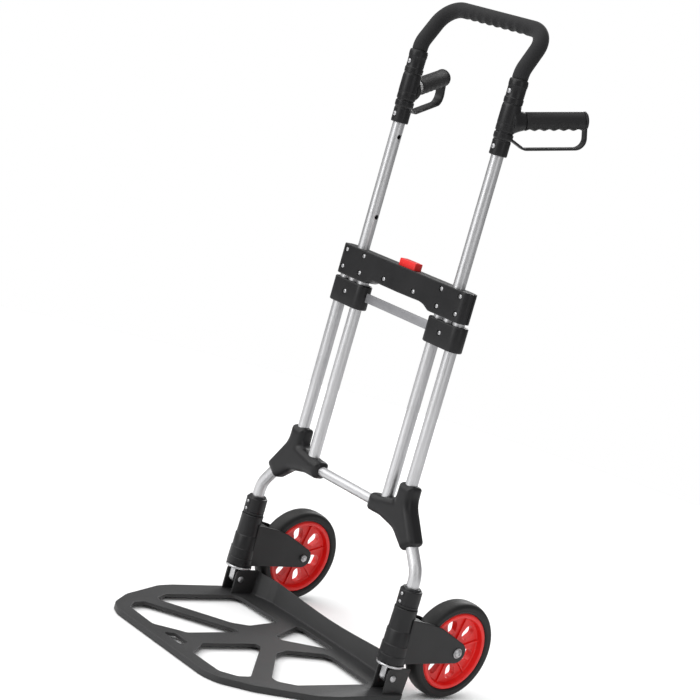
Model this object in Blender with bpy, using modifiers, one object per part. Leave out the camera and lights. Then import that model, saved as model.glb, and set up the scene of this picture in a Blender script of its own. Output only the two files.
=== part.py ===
"""Folding hand truck with a two-stage telescopic handle, a toe plate that folds up and
wheels that fold in with it.  Metres, +Z up, the load sits on the -Y side, the wheels on +Y.
The origin lies on the floor, at the middle of the footprint.  The drawing below is laid out
from the plane of the upright tubes, and every object is then moved back by COLUMN_Y."""

import math

import bmesh
import bpy
from mathutils import Matrix, Vector

# ---- driving dimensions -------------------------------------------------------------
FIT = 0.0003                 # gap left between a part and the part it sits on
SLIDE = 0.0006               # gap round anything that slides or turns
TUBE_R = 0.011               # every upright tube is 22 mm across
TUBE_WALL = 0.0015
OUTER_X = 0.153              # fixed outer tube, upper straight run
HANDLE_X = 0.129             # sliding handle tube
INNER_X = 0.105              # fixed inner tube
COLUMN_X = 0.223             # outer tube below its bend, wheel plane, plate hinge
COLUMN_Y = 0.0514            # tube plane behind the middle of the footprint
WHEEL_R = 0.0895
WHEEL_HALF = 0.018
RIM_R = 0.0710
HOLE_TURN = 17.0             # where the first hub hole stands at rest, in degrees
AXLE_Y = 0.132               # axle behind the column; AXLE_Y + WHEEL_R stays under COLUMN_X
PIVOT_Z = 0.040
PLATE_TOP = 0.012
SHEET = 0.003
COLUMN_FOOT = 0.0605
BEND_LOW = 0.226             # column meets the sloping run
BEND_HIGH = 0.320            # sloping run meets the upper straight run
INNER_FOOT = 0.312
CROSS_Z = 0.303
CROSS_R = 0.009
INNER_TOP = 0.684
OUTER_TOP = 0.7005
BAR_LOW = 0.652
BAR_TOP = 0.706
BAR_HALF = 0.1710
BAR_DEPTH = 0.0165           # front shell; the rear shell is BAR_REAR deep
BAR_REAR = 0.0140
CLAMP_LOW = 0.6015
CLAMP_TOP = 0.646
PIN_Z = 0.699
PIN_R = 0.0035
HANDLE_FOOT = 0.613
HANDLE_HOLES = (PIN_Z, 0.767, PIN_Z + 0.215)
SLEEVE_LOW = 0.939
SLEEVE_TOP = 1.028
COLLAR_TOP = 1.070
LOOP_TOP = 1.157
LOOP_BACK = 0.039
LOOP_INWARD = 0.003
GRIP_ROOT_Z = 0.998
GRIP_OUT = 24.0              # degrees the side grip points away from straight back
GRIP_RISE = 14.5             # degrees the side grip rises
GRIP_LENGTH = 0.141

PARTS = bpy.data.collections.new("hand_truck")
CUTTERS = bpy.data.collections.new("cutters")


# ---- helpers ------------------------------------------------------------------------
def clear_scene():
    for item in list(bpy.data.objects):
        bpy.data.objects.remove(item, do_unlink=True)
    bpy.context.scene.collection.children.link(PARTS)
    bpy.context.scene.collection.children.link(CUTTERS)


def make_object(name, mesh_builder, collection):
    bmesh.ops.recalc_face_normals(mesh_builder, faces=mesh_builder.faces)
    mesh = bpy.data.meshes.new(name)
    mesh_builder.to_mesh(mesh)
    mesh_builder.free()
    item = bpy.data.objects.new(name, mesh)
    item.location = (0.0, COLUMN_Y, 0.0)
    collection.objects.link(item)
    return item


def bridge(builder, rings, closed):
    """Skin a list of vertex rings; closed joins the last ring to the first."""
    pairs = list(zip(rings, rings[1:]))
    if closed:
        pairs.append((rings[-1], rings[0]))
    for first, second in pairs:
        count = len(first)
        for index in range(count):
            after = (index + 1) % count
            builder.faces.new((first[index], first[after], second[after], second[index]))


def lathe(name, profile, place=Matrix.Identity(4), steps=20, collection=PARTS):
    """Turn a closed (radius, height) outline about local Z; a zero radius makes a tip."""
    builder = bmesh.new()
    hollow = all(radius > 0.0 for radius, height in profile)
    rows = []
    for radius, height in profile:
        if radius == 0.0:
            rows.append([builder.verts.new(place @ Vector((0.0, 0.0, height)))])
            continue
        row = []
        for step in range(steps):
            angle = 2.0 * math.pi * (step + 0.5) / steps
            spot = Vector((radius * math.cos(angle), radius * math.sin(angle), height))
            row.append(builder.verts.new(place @ spot))
        rows.append(row)
    if hollow:
        bridge(builder, rows, True)
    else:
        bridge(builder, [row for row in rows if len(row) > 1], False)
        for tip, rim in ((rows[0], rows[1]), (rows[-1], rows[-2])):
            for step in range(steps):
                builder.faces.new((tip[0], rim[step], rim[(step + 1) % steps]))
    return make_object(name, builder, collection)


def solid_rod(name, radius, low, high, place=Matrix.Identity(4), steps=16, collection=PARTS):
    outline = [(0.0, low), (radius, low), (radius, high), (0.0, high)]
    return lathe(name, outline, place, steps, collection)


def prism(name, outline, low, high, place=Matrix.Identity(4), collection=PARTS):
    """Push a flat (x, y) outline along local Z."""
    builder = bmesh.new()
    rings = []
    for height in (low, high):
        rings.append([builder.verts.new(place @ Vector((x, y, height))) for x, y in outline])
    bridge(builder, rings, False)
    builder.faces.new(rings[0])
    builder.faces.new(list(reversed(rings[1])))
    return make_object(name, builder, collection)


def box(name, low, high, collection=PARTS):
    outline = [(low[0], low[1]), (high[0], low[1]), (high[0], high[1]), (low[0], high[1])]
    return prism(name, outline, low[2], high[2], collection=collection)


def arc_points(centre, radius, start, end, steps):
    points = []
    for step in range(steps + 1):
        angle = math.radians(start + (end - start) * step / steps)
        points.append((centre[0] + radius * math.cos(angle), centre[1] + radius * math.sin(angle)))
    return points


def round_corners(corners, radii, steps):
    """Replace each inner corner of an open 3-D path by an arc that is tangent to both runs."""
    points = [corners[0].copy()]
    for before, corner, after, radius in zip(corners, corners[1:], corners[2:], radii):
        inward = (before - corner).normalized()
        outward = (after - corner).normalized()
        half = inward.angle(outward) / 2.0
        middle = (inward + outward).normalized()
        centre = corner + middle * (radius / math.sin(half))
        first = corner + inward * (radius / math.tan(half)) - centre
        last = corner + outward * (radius / math.tan(half)) - centre
        turn = first.angle(last)
        axis = first.cross(last).normalized()
        for step in range(steps + 1):
            points.append(centre + Matrix.Rotation(turn * step / steps, 3, axis) @ first)
    points.append(corners[-1].copy())
    return points


def ring_frames(points, side):
    """Tangent and two cross directions at each point, carried along without twisting."""
    frames = []
    across = side.normalized()
    for index, point in enumerate(points):
        before = points[max(index - 1, 0)]
        after = points[min(index + 1, len(points) - 1)]
        tangent = (after - before).normalized()
        across = (across - tangent * across.dot(tangent)).normalized()
        frames.append((point, across, tangent.cross(across)))
    return frames


def swept(name, points, side, outer, inner=None, steps=16, collection=PARTS):
    """Sweep a round section; outer and inner are radii or functions (index, angle)."""
    builder = bmesh.new()

    def ring_set(radius):
        rings = []
        for index, (point, across, other) in enumerate(ring_frames(points, side)):
            ring = []
            for step in range(steps):
                angle = 2.0 * math.pi * (step + 0.5) / steps
                size = radius(index, angle) if callable(radius) else radius
                offset = across * math.cos(angle) + other * math.sin(angle)
                ring.append(builder.verts.new(point + offset * size))
            rings.append(ring)
        return rings

    skin = ring_set(outer)
    if inner is None:
        bridge(builder, skin, False)
        builder.faces.new(skin[0])
        builder.faces.new(list(reversed(skin[-1])))
    else:
        bridge(builder, skin + list(reversed(ring_set(inner))), True)
    return make_object(name, builder, collection)


def banded(name, points, side, half_width, half_thick, collection=PARTS):
    """Sweep a flat rectangular band whose width runs along the given side direction."""
    builder = bmesh.new()
    rings = []
    for point, across, other in ring_frames(points, side):
        ring = []
        for wide, thick in ((1, 1), (-1, 1), (-1, -1), (1, -1)):
            spot = point + across * (wide * half_width) + other * (thick * half_thick)
            ring.append(builder.verts.new(spot))
        rings.append(ring)
    bridge(builder, rings, False)
    builder.faces.new(rings[0])
    builder.faces.new(list(reversed(rings[-1])))
    return make_object(name, builder, collection)


def boolean(target, tool, operation):
    step = target.modifiers.new(operation.lower() + "_" + tool.name, "BOOLEAN")
    step.operation = operation
    step.solver = "EXACT"
    step.object = tool
    tool.hide_render = True
    tool.display_type = "WIRE"
    return target


def cut(target, tool):
    return boolean(target, tool, "DIFFERENCE")


def join(target, tool):
    return boolean(target, tool, "UNION")


def round_edges(target, width, steps, limit=50.0):
    bevel = target.modifiers.new("rounding", "BEVEL")
    bevel.width = width
    bevel.segments = steps
    bevel.limit_method = "ANGLE"
    bevel.angle_limit = math.radians(limit)
    bevel.use_clamp_overlap = True


def at(x, y, z):
    return Matrix.Translation((x, y, z))


def along_x(x, y, z):
    """Local Z laid along world +X."""
    return at(x, y, z) @ Matrix.Rotation(math.radians(90.0), 4, "Y")


def along_y(x, y, z):
    """Local Z laid along world +Y, local X staying on world X."""
    return at(x, y, z) @ Matrix.Rotation(math.radians(-90.0), 4, "X")


def side_name(side):
    return "right" if side > 0 else "left"


# ---- frame tubes --------------------------------------------------------------------
def outer_tube_path(side):
    corners = [
        Vector((side * OUTER_X, 0.0, OUTER_TOP)),
        Vector((side * OUTER_X, 0.0, BEND_HIGH)),
        Vector((side * COLUMN_X, 0.0, BEND_LOW)),
        Vector((side * COLUMN_X, 0.0, COLUMN_FOOT)),
    ]
    return round_corners(corners, (0.060, 0.050), 4)


def build_frame_tubes(side):
    name = side_name(side)
    front = Vector((0.0, -1.0, 0.0))
    swept("outer_tube_" + name, outer_tube_path(side), front, TUBE_R, TUBE_R - TUBE_WALL)
    inner = [Vector((side * INNER_X, 0.0, INNER_FOOT)), Vector((side * INNER_X, 0.0, INNER_TOP))]
    swept("inner_tube_" + name, inner, front, TUBE_R, TUBE_R - TUBE_WALL)


def build_cross_tube():
    reach = INNER_X - 0.020
    run = [Vector((-reach, 0.0, CROSS_Z)), Vector((reach, 0.0, CROSS_Z))]
    swept("cross_tube", run, Vector((0.0, 0.0, 1.0)), CROSS_R, CROSS_R - TUBE_WALL)


def build_y_joint(side):
    name = side_name(side)
    outline = [
        (0.134, 0.360), (0.172, 0.360), (0.175, 0.338), (0.187, 0.313), (0.216, 0.274),
        (0.180, 0.251), (0.156, 0.270), (0.128, 0.284), (0.092, 0.291), (0.070, 0.292),
        (0.070, 0.315), (0.084, 0.318), (0.088, 0.327), (0.122, 0.327), (0.127, 0.333),
    ]
    flat = [(side * x, z) for x, z in outline]
    upright = Matrix.Rotation(math.radians(90.0), 4, "X")
    shell = prism("y_joint_" + name, flat, -0.0165, 0.0165, upright)
    round_edges(shell, 0.006, 2, 60.0)
    front = Vector((0.0, -1.0, 0.0))
    cutter = swept("cut_y_outer_" + name, outer_tube_path(side), front, TUBE_R + FIT,
                   collection=CUTTERS)
    cut(shell, cutter)
    cup = solid_rod("cut_y_inner_" + name, TUBE_R + FIT, INNER_FOOT - FIT, 0.400,
                    at(side * INNER_X, 0.0, 0.0), collection=CUTTERS)
    cut(shell, cup)
    socket = solid_rod("cut_y_cross_" + name, CROSS_R + FIT, -0.060, INNER_X - 0.020 + FIT,
                       along_x(0.0, 0.0, CROSS_Z) if side > 0 else
                       at(0.0, 0.0, CROSS_Z) @ Matrix.Rotation(math.radians(-90.0), 4, "Y"),
                       collection=CUTTERS)
    cut(shell, socket)


# ---- crossbar, clamps and lock ------------------------------------------------------
def crossbar_outline():
    right = [
        (0.0, 0.6605), (0.062, 0.6612), (0.073, 0.6590), (0.087, BAR_LOW), (BAR_HALF, BAR_LOW),
        (BAR_HALF, BAR_TOP), (0.0, BAR_TOP),
    ]
    left = [(-x, z) for x, z in reversed(right) if x > 0.0]
    return right + left


def cut_crossbar(cover, label):
    for side in (-1, 1):
        name = label + side_name(side)
        cut(cover, solid_rod("cut_bar_outer_" + name, TUBE_R + FIT, 0.600, OUTER_TOP + FIT,
                             at(side * OUTER_X, 0.0, 0.0), collection=CUTTERS))
        cut(cover, solid_rod("cut_bar_inner_" + name, TUBE_R + FIT, 0.600, INNER_TOP + FIT,
                             at(side * INNER_X, 0.0, 0.0), collection=CUTTERS))
        cut(cover, solid_rod("cut_bar_slide_" + name, TUBE_R + SLIDE, 0.600, 0.800,
                             at(side * HANDLE_X, 0.0, 0.0), collection=CUTTERS))
    cut(cover, solid_rod("cut_bar_pins_" + label, PIN_R + SLIDE, -HANDLE_X, HANDLE_X,
                         along_x(0.0, 0.0, PIN_Z), collection=CUTTERS))
    cut(cover, box("cut_bar_button_" + label, (-0.0216, -0.0096, 0.690), (0.0216, 0.0096, 0.760),
                   CUTTERS))


def crossbar_screws():
    spots = []
    for side in (-1, 1):
        for x in (OUTER_X, INNER_X):
            for z in (0.6965, 0.6655):
                spots.append((side * x, z))
        spots.append((side * 0.040, 0.6725))
    return spots


def screw(name, x, face, z, depth):
    """Round-headed screw driven in from the front; its seat lies at y = -face."""
    profile = [(0.0, depth), (0.0020, depth - 0.0005), (0.0020, 0.0), (0.0042, 0.0),
               (0.0042, -0.0008), (0.0032, -0.0020), (0.0, -0.0026)]
    return lathe(name, profile, along_y(x, -face - 0.0001, z), 8)


def screw_hole(target, name, x, face, z, depth):
    hole = solid_rod("cut_" + name, 0.0020 + FIT, -0.004, depth + FIT,
                     along_y(x, -face, z), 8, CUTTERS)
    cut(target, hole)


def sunk_screw(target, name, x, face, z):
    """A screw whose whole head lies in a counterbore, below the face at y = -face."""
    seat = face - 0.0028
    well = solid_rod("cut_well_" + name, 0.0049, -0.010, 0.0, along_y(x, -seat, z), 8, CUTTERS)
    cut(target, well)
    screw_hole(target, name, x, seat, z, 0.0016)
    screw(name, x, seat, z, 0.0016)


def build_crossbar():
    upright = Matrix.Rotation(math.radians(90.0), 4, "X")
    front = prism("crossbar_front", crossbar_outline(), 0.0001, BAR_DEPTH, upright)
    rear = prism("crossbar_rear", crossbar_outline(), -BAR_REAR, -0.0001, upright)
    reach = BAR_HALF - BAR_DEPTH
    for cover, label, sign in ((front, "front_", -1.0), (rear, "rear_", 1.0)):
        depth = BAR_DEPTH if sign < 0.0 else BAR_REAR
        for side in (-1, 1):
            corner = [(side * (reach + 0.0165 * math.sin(math.radians(angle))),
                       sign * depth * math.cos(math.radians(angle)))
                      for angle in (0, 22.5, 45, 67.5, 90)]
            outline = corner + [(side * (BAR_HALF + 0.010), 0.0),
                                (side * (BAR_HALF + 0.010), sign * (depth + 0.010)),
                                (side * reach, sign * (depth + 0.010))]
            name = "cut_bar_end_" + label + side_name(side)
            cut(cover, prism(name, outline, 0.600, 0.800, collection=CUTTERS))
        cut_crossbar(cover, label)
    for number, (x, z) in enumerate(crossbar_screws(), 1):
        name = "crossbar_screw_%02d" % number
        sunk_screw(front, name, x, BAR_DEPTH, z)


def build_lock():
    outline = [(-0.021, 0.0), (0.021, 0.0), (0.021, 0.0180), (0.0195, 0.0200),
               (-0.0195, 0.0200), (-0.021, 0.0180)]
    upright = at(0.0, 0.0, 0.6985) @ Matrix.Rotation(math.radians(90.0), 4, "X")
    button = prism("release_button", outline, -0.009, 0.009, upright)
    round_edges(button, 0.0015, 2, 60.0)
    for side in (-1, 1):
        tip = HANDLE_X - TUBE_R - 0.0006
        turn = 90.0 if side > 0 else -90.0
        place = at(0.0, 0.0, PIN_Z) @ Matrix.Rotation(math.radians(turn), 4, "Y")
        profile = [(0.0, 0.034), (PIN_R, 0.034), (PIN_R, tip - 0.0012), (PIN_R - 0.0012, tip),
                   (0.0, tip)]
        lathe("lock_pin_" + side_name(side), profile, place, 20)


def build_clamp(side):
    name = side_name(side)
    half = 0.0165
    right = arc_points((OUTER_X + 0.003, 0.0), half, -90.0, 90.0, 10)
    left = arc_points((INNER_X - 0.003, 0.0), half, 90.0, 270.0, 10)
    outline = [(side * x, y) for x, y in right + left]
    block = prism("clamp_block_" + name, outline, CLAMP_LOW, CLAMP_TOP)
    round_edges(block, 0.002, 1, 60.0)
    for x, gap in ((OUTER_X, FIT), (INNER_X, FIT), (HANDLE_X, SLIDE)):
        label = "cut_clamp_%s_%d" % (name, round(x * 1000))
        cut(block, solid_rod(label, TUBE_R + gap, 0.500, 0.700, at(side * x, 0.0, 0.0),
                             collection=CUTTERS))
    slot_in, slot_out = sorted((side * 0.080, side * 0.0903))
    cut(block, box("cut_strap_" + name, (slot_in, -0.0018, 0.6177), (slot_out, 0.0018, 0.6348),
                   CUTTERS))
    sunk_screw(block, "clamp_screw_" + name, side * HANDLE_X, half, 0.6250)


def build_strap():
    box("brace_strap", (-0.090, -0.0015, 0.618), (0.090, 0.0015, 0.6345))


# ---- columns and toe plate ----------------------------------------------------------
def build_column(side):
    name = side_name(side)
    x = side * COLUMN_X
    bore = TUBE_R + FIT
    collar = [(bore, 0.166), (0.0190, 0.166), (0.0200, 0.168), (0.0200, 0.197), (0.0185, 0.1995),
              (0.0160, 0.2010), (bore, 0.2010)]
    lathe("column_collar_" + name, collar, at(x, 0.0, 0.0))
    washer = [(bore, 0.0606), (0.0235, 0.0606), (0.0245, 0.0615), (0.0245, 0.0640),
              (0.0235, 0.0648), (bore, 0.0648)]
    lathe("washer_ring_" + name, washer, at(x, 0.0, 0.0))
    plug = TUBE_R - TUBE_WALL - FIT
    stem = [(0.0, 0.0592), (plug, 0.0592), (plug, 0.090), (0.0, 0.090)]
    lug = lathe("hinge_lug_" + name, stem, at(x, 0.0, 0.0))
    low = arc_points((0.0, PIVOT_Z), 0.0105, 180.0, 360.0, 12)
    outline = low + [(0.0105, 0.0602), (-0.0105, 0.0602)]
    sideways = Matrix(((0.0, 0.0, 1.0, x), (1.0, 0.0, 0.0, 0.0), (0.0, 1.0, 0.0, 0.0),
                       (0.0, 0.0, 0.0, 1.0)))
    tongue = prism("add_lug_" + name, outline, -0.0064, 0.0064, sideways, CUTTERS)
    join(lug, tongue)
    cut(lug, solid_rod("cut_lug_" + name, 0.0040 + FIT, -0.030, 0.030, along_x(x, 0.0, PIVOT_Z),
                       collection=CUTTERS))


def plate_rear_edge():
    """Rear edge from the hinge towards the middle, right-hand half; it clears the wheels."""
    return [(0.2155, 0.0400), (0.1980, 0.0430), (0.1780, 0.0520), (0.1600, 0.0560),
            (0.1000, 0.0590), (0.0, 0.0600)]


def plate_outline():
    right = [
        (0.128, -0.324), (0.158, -0.312), (0.196, -0.262), (0.241, -0.160), (0.246, -0.125),
        (0.246, 0.026), (0.240, 0.034), (0.2155, 0.034),
    ] + plate_rear_edge()
    left = [(-x, y) for x, y in reversed(right) if x > 0.0]
    return right + left


def plate_holes():
    """Outlines of the lightening holes, right-hand side; the middle two are symmetrical."""
    big = [(0.055, -0.084), (0.068, -0.116), (0.166, -0.203), (0.180, -0.203), (0.197, -0.172),
           (0.198, -0.014), (0.188, -0.004), (0.084, 0.001), (0.072, -0.006)]
    front = [(0.023, -0.248), (0.026, -0.130), (0.037, -0.128), (0.160, -0.244), (0.157, -0.270),
             (0.135, -0.293), (0.061, -0.295), (0.032, -0.257)]
    tip = [(-0.025, -0.297), (0.025, -0.297), (0.019, -0.275), (-0.019, -0.275)]
    rear = [(-0.042, 0.034), (-0.051, 0.025), (-0.009, -0.058), (0.009, -0.058), (0.051, 0.025),
            (0.042, 0.034)]
    return big, front, tip, rear


def shrink(outline, amount):
    """Move each edge of an outline inward by the same amount."""
    count = len(outline)
    area = sum(outline[i][0] * outline[(i + 1) % count][1] - outline[(i + 1) % count][0]
               * outline[i][1] for i in range(count))
    turn = 1.0 if area > 0.0 else -1.0
    points = []
    for index in range(count):
        here = Vector(outline[index])
        arrive = (here - Vector(outline[index - 1])).normalized()
        leave = (Vector(outline[(index + 1) % count]) - here).normalized()
        first = Vector((-arrive.y, arrive.x)) * turn
        second = Vector((-leave.y, leave.x)) * turn
        middle = (first + second).normalized()
        points.append(tuple(here + middle * (amount / max(middle.dot(first), 0.3))))
    return points


def build_toe_plate():
    plate = prism("toe_plate", plate_outline(), 0.0, PLATE_TOP)
    pocket = prism("cut_plate_under", shrink(plate_outline(), SHEET), -0.010,
                   PLATE_TOP - SHEET, collection=CUTTERS)
    cut(plate, pocket)
    big, front, tip, rear = plate_holes()
    rims = [("big_right", big), ("big_left", [(-x, y) for x, y in reversed(big)]),
            ("front_right", front), ("front_left", [(-x, y) for x, y in reversed(front)]),
            ("tip", tip), ("rear", rear)]
    for label, outline in rims:
        cut(plate, prism("cut_plate_" + label, outline, -0.010, 0.030, collection=CUTTERS))
    edge = plate_rear_edge()
    behind = edge + [(-x, y) for x, y in reversed(edge) if x > 0.0]
    ahead = [(x, y - SHEET) for x, y in reversed(behind)]
    wall = prism("add_wall", behind + ahead, PLATE_TOP - 0.001, 0.0650, collection=CUTTERS)
    crest = [(0.2200, 0.0580), (0.2140, 0.0578), (0.1980, 0.0565), (0.1780, 0.0545),
             (0.1300, 0.0500), (0.0700, 0.0460), (0.0, 0.0440)]
    above = crest + [(-x, z) for x, z in reversed(crest) if x > 0.0]
    above += [(-0.2200, 0.0800), (0.2200, 0.0800)]
    upright = Matrix.Rotation(math.radians(90.0), 4, "X")
    cut(wall, prism("cut_wall_crest", above, -0.0800, 0.0, upright, CUTTERS))
    join(plate, wall)
    for side in (-1, 1):
        name = side_name(side)
        nose = arc_points((-0.0045, PIVOT_Z + 0.0105), 0.0080, 180.0, 90.0, 4)
        outline = [(-0.0125, 0.010)] + nose + [(0.0350, PIVOT_Z + 0.0180), (0.0380, 0.0550),
                                              (0.0340, 0.010)]
        for label, low, high in (("inner", -0.0160, -0.0128), ("outer", 0.0128, 0.0160)):
            shift = side * COLUMN_X
            sideways = Matrix(((0.0, 0.0, 1.0, shift), (1.0, 0.0, 0.0, 0.0),
                               (0.0, 1.0, 0.0, 0.0), (0.0, 0.0, 0.0, 1.0)))
            ear = prism("add_ear_%s_%s" % (label, name), outline, low * side, high * side,
                        sideways, CUTTERS)
            join(plate, ear)
        cut(plate, solid_rod("cut_ears_" + name, 0.0040 + FIT, -0.030, 0.030,
                             along_x(side * COLUMN_X, 0.0, PIVOT_Z), collection=CUTTERS))


def build_pivot(side):
    name = side_name(side)
    place = along_x(side * COLUMN_X, 0.0, PIVOT_Z)
    bolt = [(0.0, -0.0215), (0.0040, -0.0215), (0.0040, 0.0163), (0.0062, 0.0163),
            (0.0062, 0.0174), (0.0045, 0.0192), (0.0, 0.0198)]
    lathe("pivot_bolt_" + name, bolt, place, 16)
    nut = [(0.0040 + FIT, -0.0205), (0.0070, -0.0205), (0.0070, -0.0163), (0.0040 + FIT, -0.0163)]
    lathe("pivot_nut_" + name, nut, place, 12)


# ---- wheels -------------------------------------------------------------------------
def build_bracket(side):
    name = side_name(side)
    x = side * COLUMN_X
    bore = TUBE_R + SLIDE
    sleeve = [(bore, 0.0660), (0.0240, 0.0660), (0.0245, 0.0670), (0.0245, 0.0930),
              (0.0235, 0.0945), (0.0235, 0.1180), (0.0220, 0.1195), (0.0220, 0.1420),
              (0.0205, 0.1435), (0.0205, 0.1640), (0.0195, 0.1652), (bore, 0.1652)]
    bracket = lathe("wheel_bracket_" + name, sleeve, at(x, 0.0, 0.0))
    nose = arc_points((AXLE_Y, WHEEL_R), 0.0195, -88.0, 62.0, 10)
    outline = [(0.002, 0.0690), (0.050, 0.0695)] + nose + [
        (0.0950, 0.1270), (0.0620, 0.1400), (0.0400, 0.1460), (0.002, 0.1500)]
    for label, low, high in (("inner", -0.0228, -0.0195), ("outer", 0.0195, 0.0228)):
        sideways = Matrix(((0.0, 0.0, 1.0, x), (1.0, 0.0, 0.0, 0.0), (0.0, 1.0, 0.0, 0.0),
                           (0.0, 0.0, 0.0, 1.0)))
        cheek = prism("add_cheek_%s_%s" % (label, name), outline, side * low, side * high,
                      sideways, CUTTERS)
        join(bracket, cheek)
    web_low = (x - 0.0210, 0.012, 0.0725)
    web_high = (x + 0.0210, 0.0330, 0.1440)
    join(bracket, box("add_web_" + name, web_low, web_high, CUTTERS))
    cut(bracket, solid_rod("cut_axle_" + name, 0.0040 + FIT, -0.040, 0.040,
                           along_x(x, AXLE_Y, WHEEL_R), collection=CUTTERS))


def build_wheel(side):
    name = side_name(side)
    place = along_x(side * COLUMN_X, AXLE_Y, WHEEL_R)
    half = WHEEL_HALF
    tyre = [(RIM_R + FIT, -0.0150), (0.0745, -0.0172), (0.0810, -half), (0.0845, -0.0172),
            (0.0878, -0.0140), (0.0893, -0.0090), (WHEEL_R, 0.0), (0.0893, 0.0090),
            (0.0878, 0.0140), (0.0845, 0.0172), (0.0810, half), (0.0745, 0.0172),
            (RIM_R + FIT, 0.0150)]
    lathe("tyre_" + name, tyre, place, 36)
    bore = 0.0080 + FIT
    hub = [(bore, -0.0185), (0.0150, -0.0185), (0.0170, -0.0170), (0.0180, -0.0060),
           (0.0570, -0.0060), (0.0580, -0.0165), (0.0595, -0.0180), (0.0695, -0.0165),
           (RIM_R, -0.0150), (RIM_R, 0.0150), (0.0695, 0.0165), (0.0595, 0.0180),
           (0.0580, 0.0165), (0.0570, 0.0060), (0.0180, 0.0060), (0.0170, 0.0170),
           (0.0150, 0.0185), (bore, 0.0185)]
    wheel = lathe("wheel_hub_" + name, hub, place, 36)
    for number in range(6):
        turn = place @ Matrix.Rotation(math.radians(60.0 * number + HOLE_TURN), 4, "Z")
        outer = arc_points((0.0, 0.0), 0.0545, -16.0, 16.0, 2)
        inner = arc_points((0.0, 0.0), 0.0310, 17.0, -17.0, 1)
        cut(wheel, prism("cut_kidney_%s_%d" % (name, number), outer + inner, -0.030, 0.030, turn,
                         CUTTERS))
        rib_turn = place @ Matrix.Rotation(math.radians(60.0 * number + HOLE_TURN + 30.0), 4, "Z")
        rib = [(0.0160, -0.0016), (0.0585, -0.0016), (0.0585, 0.0016), (0.0160, 0.0016)]
        join(wheel, prism("add_rib_%s_%d" % (name, number), rib, -0.0125, 0.0125, rib_turn,
                          CUTTERS))
    bush = [(0.0040 + SLIDE, -0.0190), (0.0080, -0.0190), (0.0080, 0.0190),
            (0.0040 + SLIDE, 0.0190)]
    lathe("wheel_bush_" + name, bush, place, 20)
    out_place = place if side > 0 else place @ Matrix.Rotation(math.pi, 4, "Y")
    axle = [(0.0, -0.0290), (0.0040, -0.0290), (0.0040, 0.0230), (0.0080, 0.0230),
            (0.0080, 0.0248), (0.0055, 0.0275), (0.0, 0.0285)]
    lathe("axle_bolt_" + name, axle, out_place, 16)
    nut = [(0.0040 + FIT, -0.0270), (0.0072, -0.0270), (0.0072, -0.0230), (0.0040 + FIT, -0.0230)]
    lathe("axle_nut_" + name, nut, out_place, 12)


# ---- handle -------------------------------------------------------------------------
def handle_path(low):
    back = Vector((-LOOP_INWARD, LOOP_BACK, 0.0))
    right = [
        Vector((HANDLE_X, 0.0, low)),
        Vector((HANDLE_X, 0.0, COLLAR_TOP + 0.014)),
        Vector((HANDLE_X, 0.0, LOOP_TOP)) + back,
    ]
    left = [Vector((-spot.x, spot.y, spot.z)) for spot in reversed(right)]
    return round_corners(right + left, (0.040, 0.040, 0.040, 0.040), 4)


def build_handle():
    side = Vector((0.0, 1.0, 0.0))
    tube = swept("handle_tube", handle_path(HANDLE_FOOT), side, TUBE_R, TUBE_R - TUBE_WALL)
    for mark in (-1, 1):
        for number, height in enumerate(HANDLE_HOLES):
            name = "cut_lock_hole_%s_%d" % (side_name(mark), number)
            start, end = sorted((mark * (HANDLE_X - 0.014), mark * (HANDLE_X - 0.004)))
            cut(tube, solid_rod(name, PIN_R + 0.0008, start, end, along_x(0.0, 0.0, height), 16,
                                CUTTERS))
    swept("foam_grip", handle_path(COLLAR_TOP + FIT), side, 0.0138, TUBE_R + 0.0002)


def build_handle_collar(side):
    name = side_name(side)
    x = side * HANDLE_X
    bore = TUBE_R + FIT
    low = SLEEVE_TOP + 0.0006
    collar = [(bore, low), (0.0160, low), (0.0168, low + 0.0010), (0.0168, low + 0.0100),
              (0.0158, low + 0.0115), (0.0158, COLLAR_TOP - 0.0060), (0.0166, COLLAR_TOP - 0.0048),
              (0.0166, COLLAR_TOP - 0.0012), (0.0160, COLLAR_TOP), (bore, COLLAR_TOP)]
    body = lathe("handle_collar_" + name, collar, at(x, 0.0, 0.0))
    screw_name = "collar_screw_" + name
    screw_hole(body, screw_name, x, 0.0158, 1.0480, 0.0026)
    screw(screw_name, x, 0.0160, 1.0480, 0.0026)


def grip_directions(side):
    out = math.radians(GRIP_OUT)
    rise = math.radians(GRIP_RISE)
    flat = Vector((side * math.sin(out), math.cos(out), 0.0))
    run = flat * math.cos(rise) + Vector((0.0, 0.0, math.sin(rise)))
    return flat, run


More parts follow.
